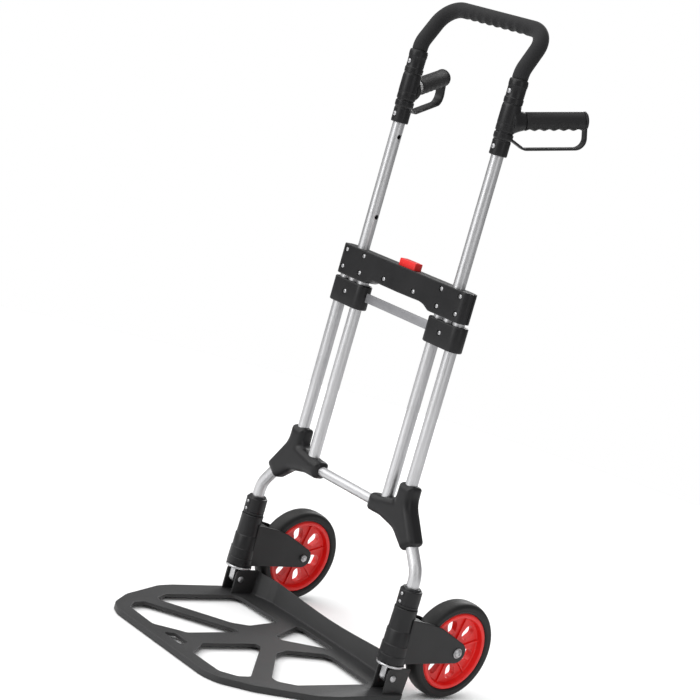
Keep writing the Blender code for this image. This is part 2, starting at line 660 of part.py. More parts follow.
def build_side_grip(side):
    name = side_name(side)
    x = side * HANDLE_X
    flat, run = grip_directions(side)
    bore = TUBE_R + SLIDE
    sleeve = [(bore, SLEEVE_LOW), (0.0150, SLEEVE_LOW), (0.0158, SLEEVE_LOW + 0.0010),
              (0.0158, 0.9640), (0.0168, 0.9660), (0.0168, 0.9760), (0.0156, 0.9775),
              (0.0156, 0.9805), (0.0168, 0.9820), (0.0168, 1.0200), (0.0160, SLEEVE_TOP),
              (bore, SLEEVE_TOP)]
    arm = lathe("grip_arm_" + name, sleeve, at(x, 0.0, 0.0))
    root = Vector((x, 0.0, GRIP_ROOT_Z))
    lateral = flat.cross(Vector((0.0, 0.0, 1.0)))
    spots = (0.0130, 0.0300, 0.0302, GRIP_LENGTH - 0.0052, GRIP_LENGTH - 0.0050, GRIP_LENGTH)
    sizes = (0.0145, 0.0150, 0.0080, 0.0080, 0.0160, 0.0150)
    core = swept("add_core_" + name, [root + run * spot for spot in spots], lateral,
                 lambda index, angle: sizes[index], collection=CUTTERS)
    join(arm, core)
    below = lateral.cross(run) if lateral.cross(run).z < 0.0 else run.cross(lateral)
    marks = ((0.1390, 0.0040), (0.1394, 0.0470), (0.0300, 0.0470), (0.0060, 0.0300))
    corners = [root + run * ahead + below * drop for ahead, drop in marks]
    guard = banded("add_guard_" + name, round_corners(corners, (0.018, 0.014), 5), lateral,
                   0.0100, 0.0024, CUTTERS)
    join(arm, guard)
    bolt_room = solid_rod("cut_sleeve_" + name, bore, 0.900, 1.060, at(x, 0.0, 0.0),
                          collection=CUTTERS)
    cut(arm, bolt_room)

    grooves = 10
    length = GRIP_LENGTH - 0.0052 - 0.0304
    path = [root + run * (0.0304 + length * step / grooves) for step in range(grooves + 1)]

    def rubber(index, angle):
        scallop = 0.0009 * math.cos(index * math.pi)
        return 0.0152 + (scallop if math.sin(angle) < 0.3 else 0.0)

    swept("grip_rubber_" + name, path, lateral, rubber, 0.0080 + FIT, 14)


# ---- assembly -----------------------------------------------------------------------
def build():
    clear_scene()
    build_cross_tube()
    build_crossbar()
    build_lock()
    build_strap()
    build_toe_plate()
    build_handle()
    for side in (-1, 1):
        build_frame_tubes(side)
        build_y_joint(side)
        build_clamp(side)
        build_column(side)
        build_pivot(side)
        build_bracket(side)
        build_wheel(side)
        build_handle_collar(side)
        build_side_grip(side)


build()
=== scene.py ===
import math

import bmesh
import bpy
from mathutils import Matrix, Vector


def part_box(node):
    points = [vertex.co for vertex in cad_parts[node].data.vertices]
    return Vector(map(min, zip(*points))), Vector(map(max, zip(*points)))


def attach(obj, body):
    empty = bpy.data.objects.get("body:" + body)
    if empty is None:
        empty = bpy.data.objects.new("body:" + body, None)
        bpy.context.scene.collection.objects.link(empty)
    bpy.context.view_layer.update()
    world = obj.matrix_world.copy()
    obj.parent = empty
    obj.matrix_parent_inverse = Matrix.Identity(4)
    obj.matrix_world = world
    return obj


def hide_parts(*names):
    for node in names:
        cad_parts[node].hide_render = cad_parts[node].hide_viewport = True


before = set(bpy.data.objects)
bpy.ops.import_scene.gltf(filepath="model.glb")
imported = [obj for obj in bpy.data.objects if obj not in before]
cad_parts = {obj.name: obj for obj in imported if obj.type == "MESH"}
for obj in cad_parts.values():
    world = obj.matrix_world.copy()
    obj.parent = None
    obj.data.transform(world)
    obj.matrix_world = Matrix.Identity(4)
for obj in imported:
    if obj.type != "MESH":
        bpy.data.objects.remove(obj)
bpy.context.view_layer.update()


def middle(node):
    low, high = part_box(node)
    return (Vector(low) + Vector(high)) / 2.0


# ---- driving sizes, in metres ----
TUBE_Y = middle("washer_ring_right").y
COLUMN_X = middle("washer_ring_right").x
INNER_X = middle("inner_tube_right").x
HANDLE_X = middle("handle_collar_right").x
OUTER_X = 2.0 * HANDLE_X - INNER_X
AXLE_Y = middle("tyre_right").y - TUBE_Y
AXLE_Z = middle("tyre_right").z
TUBE_R = 0.011
TUBE_BORE = 0.0095
CROSS_TUBE_R = 0.009
CROSS_TUBE_Z = 0.303
FIT = 0.0002
SLIDE = 0.0006
BLOCK_HALF = 0.0165
BOLT_HOLE_R = 0.0043
HEX_HALF = 0.0062
BEND_HIGH = 0.320
BEND_LOW = 0.226
PIVOT_Z = 0.040
PLATE_TOP = 0.012
LOOP_TOP = 1.157
LOOP_BACK = 0.039
LOOP_INWARD = 0.003
COLLAR_TOP = 1.070
SLEEVE_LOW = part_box("grip_arm_right")[0][2]
SLEEVE_TOP = 1.028
GRIP_OUT = 24.0
GRIP_RISE = 14.5
GRIP_ROOT_Z = 0.998
GRIP_LENGTH = 0.141
RUBBER_START = 0.0304
HUB_TURN = 17.0
VIEW_ANGLES = (47.29, 9.10, 15.89)      # azimuth, elevation and roll, in degrees
VIEW_AIM = (0.0007, TUBE_Y - 0.0836, 0.5473)
VIEW_DISTANCE = 3.455
VIEW_LENS = 103.1                       # millimetres, on a sensor 36 mm wide
SIDES = ((-1, "left"), (1, "right"))
UP = Vector((0.0, 0.0, 1.0))
UPRIGHT = Matrix.Rotation(math.radians(90.0), 4, "X")


# ---- mesh helpers ----
def add(name, data):
    item = bpy.data.objects.new(name, data)
    bpy.context.scene.collection.objects.link(item)
    return item


def finished(name, builder):
    mesh = bpy.data.meshes.new(name)
    builder.to_mesh(mesh)
    builder.free()
    return add(name, mesh)


def make_object(name, builder):
    bmesh.ops.recalc_face_normals(builder, faces=builder.faces)
    return finished(name, builder)


def bridge(builder, rings, closed):
    pairs = list(zip(rings, rings[1:]))
    if closed:
        pairs.append((rings[-1], rings[0]))
    for first, second in pairs:
        for index in range(len(first)):
            after = (index + 1) % len(first)
            builder.faces.new((first[index], first[after], second[after], second[index]))


def capped(name, builder, rings):
    """Join the rings into a skin, and close it at both ends."""
    bridge(builder, rings, False)
    builder.faces.new(rings[0])
    builder.faces.new(list(reversed(rings[-1])))
    return make_object(name, builder)


def lathe(name, profile, place=Matrix.Identity(4), steps=64):
    """Turn a (radius, height) outline about local Z; a zero radius makes a tip."""
    builder = bmesh.new()
    rows = []
    for radius, height in profile:
        if radius == 0.0:
            rows.append([builder.verts.new(place @ Vector((0.0, 0.0, height)))])
            continue
        row = []
        for step in range(steps):
            angle = 2.0 * math.pi * step / steps
            spot = Vector((radius * math.cos(angle), radius * math.sin(angle), height))
            row.append(builder.verts.new(place @ spot))
        rows.append(row)
    if all(len(row) > 1 for row in rows):
        bridge(builder, rows, True)
    else:
        bridge(builder, [row for row in rows if len(row) > 1], False)
        for tip, rim in ((rows[0], rows[1]), (rows[-1], rows[-2])):
            for step in range(steps):
                builder.faces.new((tip[0], rim[step], rim[(step + 1) % steps]))
    return make_object(name, builder)


def rod(name, radius, low, high, place=Matrix.Identity(4), steps=48):
    return lathe(name, [(0.0, low), (radius, low), (radius, high), (0.0, high)], place, steps)


def prism(name, outline, low, high, place=Matrix.Identity(4)):
    builder = bmesh.new()
    rings = []
    for height in (low, high):
        rings.append([builder.verts.new(place @ Vector((x, y, height))) for x, y in outline])
    return capped(name, builder, rings)


def box(name, low, high):
    outline = [(low[0], low[1]), (high[0], low[1]), (high[0], high[1]), (low[0], high[1])]
    return prism(name, outline, low[2], high[2])


def arc_points(centre, radius, start, end, steps):
    points = []
    for step in range(steps + 1):
        angle = math.radians(start + (end - start) * step / steps)
        points.append((centre[0] + radius * math.cos(angle), centre[1] + radius * math.sin(angle)))
    return points


def fillet(outline, radius, steps=6):
    """Round the corners of a closed flat outline; radius is a number or one per corner."""
    points = []
    count = len(outline)
    for index in range(count):
        here = Vector(outline[index])
        before = Vector(outline[index - 1])
        after = Vector(outline[(index + 1) % count])
        inward = (before - here).normalized()
        outward = (after - here).normalized()
        half = inward.angle(outward) / 2.0
        size = radius[index] if isinstance(radius, (list, tuple)) else radius
        room = 0.48 * min((before - here).length, (after - here).length)
        reach = min(size / math.tan(half), room) if half < 1.52 else 0.0
        if reach < 1e-5:
            points.append(tuple(here))
            continue
        centre = here + (inward + outward).normalized() * (reach / math.cos(half))
        first = here + inward * reach - centre
        turn = first.angle_signed(here + outward * reach - centre)
        for step in range(steps + 1):
            arm = Matrix.Rotation(-turn * step / steps, 2) @ first
            points.append(tuple(centre + arm))
    return points


def mirrored(points):
    """The same outline on the other side, without what lies on the middle line."""
    return [(-x, y) for x, y in reversed(points) if x > 0.0]


def flipped(profile):
    return [(radius, -height) for radius, height in reversed(profile)]


def shrink(outline, amount):
    count = len(outline)
    area = 0.0
    for index in range(count):
        here, after = outline[index], outline[(index + 1) % count]
        area += here[0] * after[1] - after[0] * here[1]
    turn = 1.0 if area > 0.0 else -1.0
    points = []
    for index in range(count):
        here = Vector(outline[index])
        arrive = (here - Vector(outline[index - 1])).normalized()
        leave = (Vector(outline[(index + 1) % count]) - here).normalized()
        first = Vector((-arrive.y, arrive.x)) * turn
        second = Vector((-leave.y, leave.x)) * turn
        joined = (first + second).normalized()
        points.append(tuple(here + joined * (amount / max(joined.dot(first), 0.3))))
    return points


def round_corners(corners, radii, steps):
    points = [corners[0].copy()]
    for before, corner, after, radius in zip(corners, corners[1:], corners[2:], radii):
        inward = (before - corner).normalized()
        outward = (after - corner).normalized()
        half = inward.angle(outward) / 2.0
        centre = corner + (inward + outward).normalized() * (radius / math.sin(half))
        first = corner + inward * (radius / math.tan(half)) - centre
        last = corner + outward * (radius / math.tan(half)) - centre
        axis = first.cross(last).normalized()
        turn = first.angle(last)
        for step in range(steps + 1):
            points.append(centre + Matrix.Rotation(turn * step / steps, 3, axis) @ first)
    points.append(corners[-1].copy())
    return points


def spaced(points, gap):
    """The same path with extra points, so that none lie further apart than gap."""
    dense = [points[0]]
    for start, end in zip(points, points[1:]):
        count = max(1, math.ceil((end - start).length / gap))
        dense += [start.lerp(end, step / count) for step in range(1, count + 1)]
    return dense


def ring_frames(points, side):
    frames = []
    across = side.normalized()
    for index, point in enumerate(points):
        tangent = (points[min(index + 1, len(points) - 1)] - points[max(index - 1, 0)]).normalized()
        across = (across - tangent * across.dot(tangent)).normalized()
        frames.append((point, across, tangent.cross(across)))
    return frames


def swept(name, points, side, section, bore=None, steps=48):
    """Sweep a section along a path: a radius, or (index, angle, direction) -> radius or offsets."""
    builder = bmesh.new()

    def ring_set(shape):
        rings = []
        for index, (point, across, other) in enumerate(ring_frames(points, side)):
            ring = []
            for step in range(steps):
                angle = 2.0 * math.pi * step / steps
                size = shape
                if callable(shape):
                    size = shape(index, angle, across * math.cos(angle) + other * math.sin(angle))
                if isinstance(size, tuple):
                    a, b = size
                else:
                    a, b = size * math.cos(angle), size * math.sin(angle)
                ring.append(builder.verts.new(point + across * a + other * b))
            rings.append(ring)
        return rings

    skin = ring_set(section)
    if bore is None:
        return capped(name, builder, skin)
    bridge(builder, skin + list(reversed(ring_set(bore))), True)
    return make_object(name, builder)


def at(x, y=0.0, z=0.0):
    return Matrix.Translation((x, y, z))


def along_x(x, y, z, side=1):
    return at(x, y, z) @ Matrix.Rotation(math.radians(90.0 * side), 4, "Y")


def along_y(x, y, z):
    return at(x, y, z) @ Matrix.Rotation(math.radians(-90.0), 4, "X")


def upright_along_x(x):
    """Flat outlines drawn as (y, z), pushed along +X from x."""
    return Matrix(((0.0, 0.0, 1.0, x), (1.0, 0.0, 0.0, 0.0), (0.0, 1.0, 0.0, 0.0),
                   (0.0, 0.0, 0.0, 1.0)))


def boolean(item, tool, operation):
    step = item.modifiers.new("shape", "BOOLEAN")
    step.operation = operation
    step.solver = "EXACT"
    step.object = tool


def bevel(item, width, segments=2, limit=50.0):
    step = item.modifiers.new("edges", "BEVEL")
    step.width = width
    step.segments = segments
    step.limit_method = "ANGLE"
    step.angle_limit = math.radians(limit)
    return apply_steps(item)


def apply_steps(item):
    """Put the outcome of the modifiers into the mesh itself."""
    bpy.context.view_layer.update()
    graph = bpy.context.evaluated_depsgraph_get()
    mesh = bpy.data.meshes.new_from_object(item.evaluated_get(graph), depsgraph=graph)
    item.modifiers.clear()
    item.data = mesh
    return item


def carve(item, add=(), remove=()):
    for tool in add:
        boolean(item, tool, "UNION")
    for tool in remove:
        boolean(item, tool, "DIFFERENCE")
    apply_steps(item)
    for tool in list(add) + list(remove):
        bpy.data.objects.remove(tool, do_unlink=True)
    return item


def merge(name, parts):
    """Put several meshes into one object."""
    builder = bmesh.new()
    for part in parts:
        builder.from_mesh(part.data)
        bpy.data.objects.remove(part, do_unlink=True)
    return finished(name, builder)


def melt(item, voxel, passes):
    """Fuse overlapping solids into one moulded skin with soft edges."""
    step = item.modifiers.new("fuse", "REMESH")
    step.mode = "VOXEL"
    step.voxel_size = voxel
    soft = item.modifiers.new("soften", "SMOOTH")
    soft.factor = 0.5
    soft.iterations = passes
    return apply_steps(item)


def mirror_left(item, side):
    """Shapes are drawn for the right-hand side; the left one is their mirror image."""
    if side < 0:
        item.data.transform(Matrix.Scale(-1.0, 4, Vector((1.0, 0.0, 0.0))))
        item.data.flip_normals()


def place(item, body, slot, nodes=(), sharp=32.0, look=None):
    """Set a finished piece in the shared frame, on its body, with its finish."""
    item.data.transform(Matrix.Translation((0.0, TUBE_Y, 0.0)))
    item.data.materials.clear()
    item.data.materials.append(LOOKS[look or slot])
    for face in item.data.polygons:
        face.use_smooth = True
    item.data.set_sharp_from_angle(angle=math.radians(sharp))
    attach(item, body)
    if nodes:
        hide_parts(*nodes)
    return item


# ---- finishes ----
class Finish:
    """A small helper that wires a procedural material."""

    def __init__(self, name):
        self.material = bpy.data.materials.new(name)
        self.material.use_nodes = True
        self.tree = self.material.node_tree
        self.skin = self.tree.nodes["Principled BSDF"]
        self.spot = self.node("ShaderNodeTexCoord").outputs["Object"]

    def node(self, kind, inputs=None, **settings):
        """Add a node; each input is a value, or the socket that feeds it."""
        item = self.tree.nodes.new(kind)
        for key, value in settings.items():
            setattr(item, key, value)
        for key, value in (inputs or {}).items():
            if isinstance(value, bpy.types.NodeSocket):
                self.link(value, item.inputs[key])
            else:
                item.inputs[key].default_value = value
        return item

    def link(self, source, target):
        self.tree.links.new(source, target)

    def set(self, **values):
        for key, value in values.items():
            self.skin.inputs[key.replace("_", " ")].default_value = value

    def noise(self, scale, detail=4.0, rough=0.55, stretch=(1.0, 1.0, 1.0)):
        turn = self.node("ShaderNodeMapping", {"Scale": stretch, "Vector": self.spot})
        grain = self.node("ShaderNodeTexNoise", {"Scale": scale, "Detail": detail, "Roughness": rough,
                                                 "Vector": turn.outputs["Vector"]})
        return grain.outputs["Fac"]

    def ramp(self, source, low, high, start=0.3, end=0.7):
        step = self.node("ShaderNodeMapRange", {"Value": source, "From Min": start, "From Max": end,
                                                "To Min": low, "To Max": high})
        return step.outputs["Result"]

    def math(self, operation, first, second=0.0):
        return self.node("ShaderNodeMath", {0: first, 1: second}, operation=operation).outputs[0]

    def blend(self, amount, first, second):
        first, second = ((*tone, 1.0) if isinstance(tone, tuple) else tone for tone in (first, second))
        mix = self.node("ShaderNodeMix", {"Factor": amount, "A": first, "B": second}, data_type="RGBA")
        return mix.outputs["Result"]

    def mottled(self, source, base, factor):
        """The base colour, drifting to factor times itself where source is high."""
        return self.blend(self.ramp(source, 0.0, 1.0), base, tuple(v * factor for v in base))

    def wear_and_edge_highlight(self, radius, scale, low, high):
        """Edges paler from wear, with a painted edge highlight, broken up by a coarse noise."""
        return self.math("MULTIPLY", self.edges(radius), self.ramp(self.noise(scale), low, high))

    def edges(self, radius):
        """1 on rounded edges, where the wear and the painted edge highlight go, 0 on open faces."""
        rounded = self.node("ShaderNodeBevel", {"Radius": radius}, samples=4).outputs["Normal"]
        true = self.node("ShaderNodeNewGeometry").outputs["Normal"]
        dot = self.node("ShaderNodeVectorMath", {0: rounded, 1: true}, operation="DOT_PRODUCT")
        return self.ramp(dot.outputs["Value"], 1.0, 0.0, 0.86, 0.985)

    def bump(self, height, strength, distance):
        step = self.node("ShaderNodeBump", {"Height": height, "Strength": strength,
                                            "Distance": distance})
        self.link(step.outputs["Normal"], self.skin.inputs["Normal"])

    def colour(self, source):
        self.link(source, self.skin.inputs["Base Color"])

    def roughness(self, source):
        self.link(source, self.skin.inputs["Roughness"])


def drawn_aluminium(name, stretch):
    """Satin anodised tube: fine die lines along its length and faint handling marks."""
    look = Finish(name)
    look.set(Metallic=1.0)
    lines = look.noise(1.0, 3.0, 0.6, stretch)
    marks = look.noise(14.0, 3.0)
    tone = look.blend(look.ramp(lines, 0.0, 1.0), (0.50, 0.50, 0.51), (0.66, 0.66, 0.67))
    look.colour(look.blend(look.ramp(marks, 0.0, 0.25, 0.45, 0.75), tone, (0.42, 0.42, 0.43)))
    look.roughness(look.math("ADD", look.ramp(lines, 0.32, 0.46), look.ramp(marks, 0.0, 0.08)))
    look.bump(lines, 0.10, 0.0001)
    return look.material


def moulded_plastic(name, base, edge_wear_and_highlight, rough, grain_scale, grain):
    """Moulded black plastic: fine spark grain, slightly polished, with edges paler from wear and a
    painted edge highlight.
    """
    look = Finish(name)
    look.set(Specular_IOR_Level=0.34)
    grit = look.noise(grain_scale, 3.0, 0.6)
    cloud = look.noise(18.0, 3.0)
    # Edges lighten towards the second tone: wear, with a painted edge highlight.
    look.colour(look.blend(look.wear_and_edge_highlight(0.0009, 90.0, 0.2, 1.0), look.mottled(cloud, base, 1.25),
                           edge_wear_and_highlight))
    look.roughness(look.math("ADD", look.ramp(cloud, rough - 0.05, rough + 0.06),
                             look.ramp(grit, -0.03, 0.03)))
    look.bump(grit, grain, 0.0003)
    return look.material


def foam(name):
    """Closed-cell foam: dull, with pores of about half a millimetre."""
    look = Finish(name)
    cells = look.node("ShaderNodeTexVoronoi", {"Scale": 1500.0, "Vector": look.spot}, feature="F1")
    cloud = look.noise(35.0, 4.0)
    look.colour(look.blend(look.ramp(cloud, 0.0, 1.0), (0.0080, 0.0080, 0.0086),
                           (0.0140, 0.0140, 0.0150)))
    look.roughness(look.ramp(cloud, 0.72, 0.86))
    height = look.math("ADD", cells.outputs["Distance"], look.ramp(cloud, 0.0, 0.5))
    look.bump(height, 0.20, 0.0003)
    look.set(Sheen_Weight=0.06, Sheen_Roughness=0.5, Specular_IOR_Level=0.35)
    return look.material


def tyre_rubber(name):
    """Solid rubber: moulding rings on the side walls and a dusty running face."""
    look = Finish(name)
    apart = look.node("ShaderNodeSeparateXYZ", {"Vector": look.spot})
    y = look.math("SUBTRACT", apart.outputs["Y"], AXLE_Y + TUBE_Y)
    z = look.math("SUBTRACT", apart.outputs["Z"], AXLE_Z)
    reach = look.math("SQRT", look.math("ADD", look.math("MULTIPLY", y, y),
                                        look.math("MULTIPLY", z, z)))
    rings = look.math("SINE", look.math("MULTIPLY", reach, 2600.0))
    grit = look.noise(500.0, 3.0)
    dust = look.math("MULTIPLY", look.ramp(reach, 0.0, 1.0, 0.0865, 0.0895),
                     look.ramp(look.noise(60.0), 0.15, 0.7))
    look.colour(look.blend(dust, (0.0050, 0.0050, 0.0052), (0.026, 0.025, 0.024)))
    look.roughness(look.ramp(grit, 0.46, 0.58))
    look.bump(look.math("ADD", look.math("MULTIPLY", rings, 0.25), grit), 0.16, 0.0003)
    look.set(Specular_IOR_Level=0.34)
    return look.material


def red_plastic(name, base):
    look = Finish(name)
    grit = look.noise(420.0, 3.0)
    cloud = look.noise(22.0, 3.0)
    # Edges lighten to a paler red: wear, with a painted edge highlight.
    look.colour(look.blend(look.wear_and_edge_highlight(0.0008, 80.0, 0.2, 0.9), look.mottled(cloud, base, 0.86),
                           (0.88, 0.07, 0.06)))
    look.roughness(look.ramp(cloud, 0.34, 0.44))
    look.bump(grit, 0.05, 0.0003)
    return look.material


def coated_plate(name):
    """Dark grey textured coat: a fine diamond weave on level faces over powder-coat grain."""
    look = Finish(name)
    apart = look.node("ShaderNodeSeparateXYZ", {"Vector": look.spot})
    pitch = 2.0 * math.pi / 0.0042
    waves = [look.math("SINE", look.math("MULTIPLY", look.math(
        way, apart.outputs["X"], apart.outputs["Y"]), pitch)) for way in ("ADD", "SUBTRACT")]
    normal = look.node("ShaderNodeNewGeometry").outputs["Normal"]
    facing = look.node("ShaderNodeSeparateXYZ", {"Vector": normal})
    level = look.ramp(facing.outputs["Z"], 0.0, 1.0, 0.8, 0.95)
    weave = look.math("MULTIPLY", look.math("MULTIPLY", *waves), level)
    grit = look.noise(900.0, 3.0)
    cloud = look.noise(9.0, 4.0)
    tone = look.blend(look.ramp(cloud, 0.0, 1.0), (0.017, 0.017, 0.0175), (0.025, 0.025, 0.0255))
    tone = look.blend(look.ramp(weave, 0.0, 0.5, 0.1, 0.9), tone, (0.062, 0.062, 0.063))
    # Edges lighten to a paler grey: wear, with a painted edge highlight.
    look.colour(look.blend(look.wear_and_edge_highlight(0.0010, 70.0, 0.1, 1.0), tone, (0.075, 0.075, 0.075)))
    look.set(Specular_IOR_Level=0.38)
    look.roughness(look.ramp(cloud, 0.46, 0.58))
    look.bump(look.math("ADD", look.math("MULTIPLY", weave, 0.5), look.ramp(grit, 0.0, 0.45)),
              0.22, 0.0005)
    return look.material


def plated_steel(name, base, rough, streak):
    look = Finish(name)
    look.set(Metallic=1.0)
    scuff = look.noise(streak, 4.0, 0.6, (1.0, 3.0, 1.0))
    look.colour(look.mottled(scuff, base, 0.82))
    look.roughness(look.ramp(scuff, rough - 0.05, rough + 0.10))
    look.bump(scuff, 0.06, 0.0002)
    return look.material


def satin_paint(name, base):
    look = Finish(name)
    peel = look.noise(260.0, 3.0)
    cloud = look.noise(12.0, 3.0)
    look.colour(look.mottled(cloud, base, 1.15))
    look.roughness(look.ramp(cloud, 0.36, 0.46))
    look.bump(peel, 0.06, 0.0003)
    look.set(Metallic=0.35)
    return look.material


LOOKS = {
    "tube_aluminium": drawn_aluminium("tube_aluminium", (700.0, 700.0, 9.0)),
    "cross_aluminium": drawn_aluminium("cross_aluminium", (9.0, 700.0, 700.0)),
    # In each plastic, the second tone is for the edges: wear, with a painted edge highlight.
    "black_plastic": moulded_plastic("black_plastic", (0.0052, 0.0051, 0.0058),
                                     (0.026, 0.025, 0.028), 0.40, 650.0, 0.05),
    "soft_black": moulded_plastic("soft_black", (0.0062, 0.0060, 0.0066),
                                  (0.022, 0.022, 0.024), 0.56, 900.0, 0.05),
    "foam_black": foam("foam_black"),
    "tyre_rubber": tyre_rubber("tyre_rubber"),
    "red_hub": red_plastic("red_hub", (0.82, 0.008, 0.006)),
    "red_button": red_plastic("red_button", (0.80, 0.012, 0.010)),
    "plate_coating": coated_plate("plate_coating"),
    "grey_strap": satin_paint("grey_strap", (0.24, 0.24, 0.25)),
    "grey_zinc": plated_steel("grey_zinc", (0.56, 0.56, 0.57), 0.36, 60.0),
    "bright_steel": plated_steel("bright_steel", (0.52, 0.52, 0.53), 0.42, 160.0),
    "grey_bush": satin_paint("grey_bush", (0.35, 0.35, 0.35)),
}


# ---- frame ----
def outer_tube_path(side):
    corners = [Vector((side * x, 0.0, z)) for x, z in (
        (OUTER_X, 0.7003), (OUTER_X, BEND_HIGH), (COLUMN_X, BEND_LOW), (COLUMN_X, 0.0606))]
    return round_corners(corners, (0.060, 0.050), 14)


def frame_tubes(side, name):
    front = Vector((0.0, -1.0, 0.0))
    outer = swept("tube_outer_" + name, outer_tube_path(side), front, TUBE_R, TUBE_BORE)
    place(outer, "frame", "tube_aluminium", ["outer_tube_" + name])
    run = [Vector((side * INNER_X, 0.0, 0.312)), Vector((side * INNER_X, 0.0, 0.684))]
    inner = swept("tube_inner_" + name, run, front, TUBE_R, TUBE_BORE)
    place(inner, "frame", "tube_aluminium", ["inner_tube_" + name])


def cross_tube():
    run = [Vector((x, 0.0, CROSS_TUBE_Z)) for x in (-0.085, 0.085)]
    tube = swept("tube_cross", run, UP, CROSS_TUBE_R, 0.0075)
    place(tube, "frame", "tube_aluminium", ["cross_tube"], look="cross_aluminium")


def pillow(name, corners, radii, half, edge, steps=6):
    """A flat outline given depth, its rim rounded over by edge."""
    builder = bmesh.new()
    turns = [math.radians(90.0 * step / steps) for step in range(steps + 1)]
    levels = [(-math.sin(turn), turn) for turn in reversed(turns)]
    levels += [(math.sin(turn), turn) for turn in turns]
    rings = []
    for order, (rise, turn) in enumerate(levels):
        base = -(half - edge) if order <= steps else half - edge
        inset = edge * (1.0 - math.cos(turn))
        sizes = [max(radius - inset, 0.0006) for radius in radii]
        ring = fillet(shrink(corners, inset), sizes, 8)
        rings.append([builder.verts.new(UPRIGHT @ Vector((x, y, base + edge * rise)))
                      for x, y in ring])
    return capped(name, builder, rings)


def y_joint_outline():
    """Front view of the right-hand joint: three arms that flow into each other."""
    slope = Vector((COLUMN_X - OUTER_X, BEND_LOW - BEND_HIGH)).normalized()
    outward = Vector((-slope.y, slope.x))
    end = Vector((OUTER_X, BEND_HIGH)) + slope * 0.0735
    arm = 0.0178
    points = [(OUTER_X + arm, 0.3615), (OUTER_X + 0.0180, 0.3300), tuple(end + outward * arm),
              tuple(end - outward * arm), (0.1480, 0.2785), (0.1080, 0.2870), (0.0720, 0.2868),
              (0.0720, 0.3192), (0.0930, 0.3200), (OUTER_X - 0.0190, 0.3290),
              (OUTER_X - arm, 0.3615)]
    return points, [0.006, 0.050, 0.008, 0.008, 0.045, 0.060, 0.008, 0.008, 0.030, 0.014, 0.006]


def y_joint(side, name):
    corners, radii = y_joint_outline()
    shell = pillow("moulding_y_joint_" + name, corners, radii, 0.0178, 0.0130)
    melt(shell, 0.0012, 16)
    seats = [swept("seat", outer_tube_path(1), Vector((0.0, -1.0, 0.0)), TUBE_R + FIT),
             rod("seat", TUBE_R + FIT, 0.3118, 0.400, at(INNER_X)),
             rod("seat", CROSS_TUBE_R + FIT, 0.030, 0.0852, along_x(0.0, 0.0, CROSS_TUBE_Z))]
    carve(shell, remove=seats)
    mirror_left(shell, side)
    place(shell, "frame", "black_plastic", ["y_joint_" + name])


def stadium(low_x, high_x, half):
    right = arc_points((high_x - half, 0.0), half, -90.0, 90.0, 20)
    left = arc_points((low_x + half, 0.0), half, 90.0, 270.0, 20)
    return right + left


def screw_well(x, face, z):
    """The counterbore that takes a whole screw head below the face."""
    return lathe("well", [(0.0, -0.010), (0.0050, -0.010), (0.0050, 0.0), (0.0, 0.0001)],
                 along_y(x, face + 0.0028, z), 32)


def clamp_block(side, name):
    low_x, high_x = INNER_X - 0.0195, OUTER_X + 0.0195
    block = prism("moulding_clamp_" + name, stadium(low_x, high_x, BLOCK_HALF), 0.6015, 0.6460)
    bevel(block, 0.0022, 4, 60.0)
    seats = [rod("seat", TUBE_R + gap, 0.500, 0.700, at(x))
             for x, gap in ((OUTER_X, FIT), (INNER_X, FIT), (HANDLE_X, SLIDE))]
    seats.append(box("seat", (0.070, -0.0017, 0.6178), (0.0902, 0.0017, 0.6347)))
    seats.append(screw_well(HANDLE_X, -BLOCK_HALF, 0.625))
    carve(block, remove=seats)
    mirror_left(block, side)
    place(block, "frame", "black_plastic", ["clamp_block_" + name])


def crossbar_face():
    right = [(0.0, 0.6605), (0.062, 0.6612), (0.073, 0.6590), (0.087, 0.6520), (0.1710, 0.6520),
             (0.1710, 0.7060), (0.0, 0.7060)]
    radii = [0.0, 0.006, 0.012, 0.006, 0.003, 0.003, 0.0]
    return fillet(right + mirrored(right), radii + radii[-2:0:-1], 5)


def crossbar_screw_spots():
    right = [(x, z) for x in (OUTER_X, INNER_X) for z in (0.6965, 0.6655)] + [(0.040, 0.6725)]
    return [(side * x, z) for side in (-1, 1) for x, z in right]


def crossbar():
    for label, sign, depth in (("front", -1.0, BLOCK_HALF), ("rear", 1.0, 0.0140)):
        low, high = (FIT, depth) if sign < 0.0 else (-depth, -FIT)
        body = prism("moulding_crossbar_" + label, crossbar_face(), low, high, UPRIGHT)
        ends = []
        for side in (-1, 1):
            curve = arc_points((0.0, 0.0), 1.0, 90.0, 0.0, 14)
            outline = [(side * (0.1545 + 0.0165 * x), sign * depth * y) for x, y in curve]
            outline += [(side * 0.190, 0.0), (side * 0.190, sign * 0.030),
                        (side * 0.1545, sign * 0.030)]
            ends.append(prism("end", outline, 0.600, 0.800))
        carve(body, remove=ends)
        melt(body, 0.0010, 6)
        seats = [rod("seat", TUBE_R + gap, low, high, at(side * x))
                 for side in (-1, 1)
                 for x, gap, low, high in ((OUTER_X, FIT, 0.6, 0.7004),
                                           (INNER_X, FIT, 0.6, 0.6841),
                                           (HANDLE_X, SLIDE, 0.6, 0.8))]
        seats.append(box("seat", (-0.0216, -0.0096, 0.6900), (0.0216, 0.0096, 0.7600)))
        seats.append(rod("seat", 0.0041, -0.118, 0.118, along_x(0.0, 0.0, 0.699)))
        if sign < 0.0:
            seats += [screw_well(x, -BLOCK_HALF, z) for x, z in crossbar_screw_spots()]
        carve(body, remove=seats)
        place(body, "frame", "black_plastic", ["crossbar_" + label])


